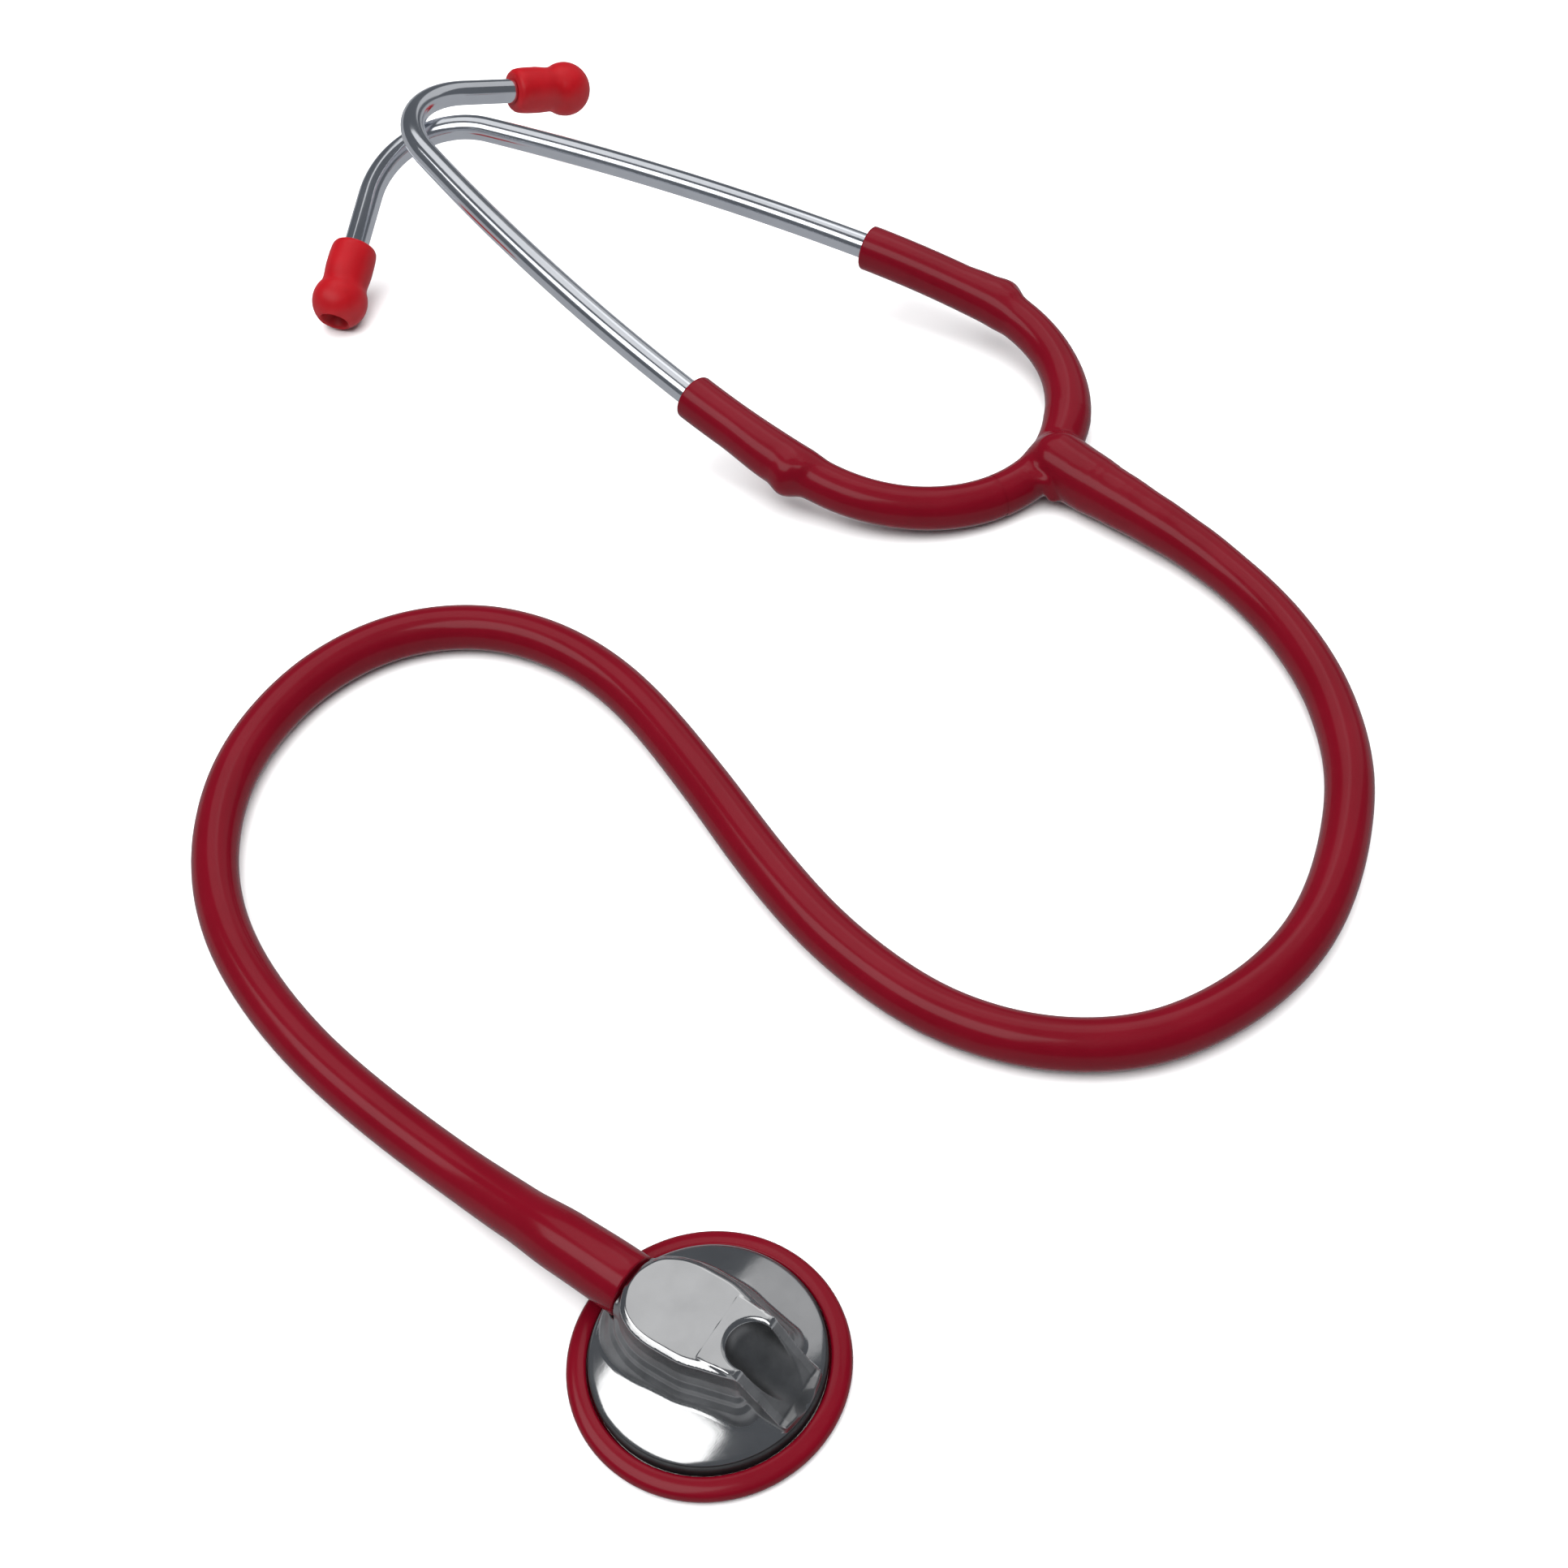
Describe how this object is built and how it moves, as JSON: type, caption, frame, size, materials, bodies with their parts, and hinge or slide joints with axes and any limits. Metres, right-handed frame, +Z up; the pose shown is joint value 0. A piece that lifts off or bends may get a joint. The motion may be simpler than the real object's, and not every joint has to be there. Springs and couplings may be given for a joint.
{
  "type": "stethoscope",
  "caption": "Stethoscope lying with its ear tubes crossed: sprung headset of two bent metal tubes in flexible arms, a long curved hose and a round chestpiece.",
  "frame": {"origin": "centre of the bounding box without the hose and its end, on the table plane", "axes": "+Z up from the table, +Y from the fork along the headset to the ear tips, +X to the headset's right; the wearer's left and right arms are named as seen from above with the ear tips pointing away"},
  "size_m": [0.2844, 0.3024, 0.0366],
  "materials": {
    "y_joint": "satin moulded PVC",
    "hose": "satin extruded PVC",
    "hose_end_cuff": "satin extruded PVC",
    "binaural_spring": "rolled spring steel",
    "arm_tubing": "satin moulded PVC",
    "spring_clamp": "moulded nylon",
    "ear_tube": "bright chrome plate",
    "eartip_nipple": "turned metal",
    "eartip": "soft matte silicone",
    "chestpiece_head": "machined and polished steel",
    "chestpiece_stem": "turned steel",
    "seal_ring": "black rubber",
    "diaphragm": "thin epoxy sheet",
    "diaphragm_rim": "satin moulded rubber"
  },
  "bodies": {
    "tubing": {"y_joint": "y_joint", "hose": "hose", "hose_end_cuff": "hose_end_cuff", "binaural_spring": "binaural_spring"},
    "left_arm": {"arm_tubing_left": "arm_tubing", "spring_clamp_left": "spring_clamp"},
    "right_arm": {"arm_tubing_right": "arm_tubing", "spring_clamp_right": "spring_clamp"},
    "left_ear_tube": {"ear_tube_left": "ear_tube", "eartip_nipple_left": "eartip_nipple"},
    "right_ear_tube": {"ear_tube_right": "ear_tube", "eartip_nipple_right": "eartip_nipple"},
    "left_eartip": {"eartip_left": "eartip"},
    "right_eartip": {"eartip_right": "eartip"},
    "chestpiece": {"chestpiece_head": "chestpiece_head", "chestpiece_stem": "chestpiece_stem", "seal_ring": "seal_ring"},
    "rim": {"diaphragm_rim": "diaphragm_rim", "diaphragm": "diaphragm"}
  },
  "joints": [
    {"name": "left_arm_open", "type": "hinge", "parent": "tubing", "child": "left_arm", "pos_m": [0.08185, -0.04861, 0.00499], "axis": [0.7292, -0.0975, 0.6773], "range_deg": [0, 30], "stiffness_Nm_per_rad": 3, "deforming": ["binaural_spring"]},
    {"name": "right_arm_open", "type": "hinge", "parent": "tubing", "child": "right_arm", "pos_m": [0.09981, -0.04875, 0.00598], "axis": [0.0555, 0.1422, -0.9883], "range_deg": [0, 15], "stiffness_Nm_per_rad": 3, "deforming": ["binaural_spring"]},
    {"name": "left_ear_tube_swivel", "type": "hinge", "parent": "left_arm", "child": "left_ear_tube", "pos_m": [0.05824, 0.02271, 0.01541], "axis": [0.1378, 0.976, 0.1685], "range_deg": [-40, 0]},
    {"name": "right_ear_tube_swivel", "type": "hinge", "parent": "right_arm", "child": "right_ear_tube", "pos_m": [0.12342, 0.02261, 0.0161], "axis": [-0.1378, 0.9839, 0.1136], "range_deg": [-40, 0]},
    {"name": "left_eartip_pull", "type": "slide", "parent": "left_ear_tube", "child": "left_eartip", "axis": [0.883, -0.3307, -0.3331], "range_m": [0, 0.012]},
    {"name": "right_eartip_pull", "type": "slide", "parent": "right_ear_tube", "child": "right_eartip", "axis": [-0.8471, -0.3322, -0.4148], "range_m": [0, 0.012]},
    {"name": "chestpiece_turn", "type": "hinge", "parent": "tubing", "child": "chestpiece", "pos_m": [-0.11882, -0.11706, 0.0113], "axis": [0, 1, 0], "continuous": true},
    {"name": "rim_release", "type": "slide", "parent": "chestpiece", "child": "rim", "axis": [0, 0, -1], "range_m": [0, 0.008]}
  ],
  "couplings": [
    {"joint": "right_arm_open", "follows": "left_arm_open", "ratio": 0.5}
  ]
}
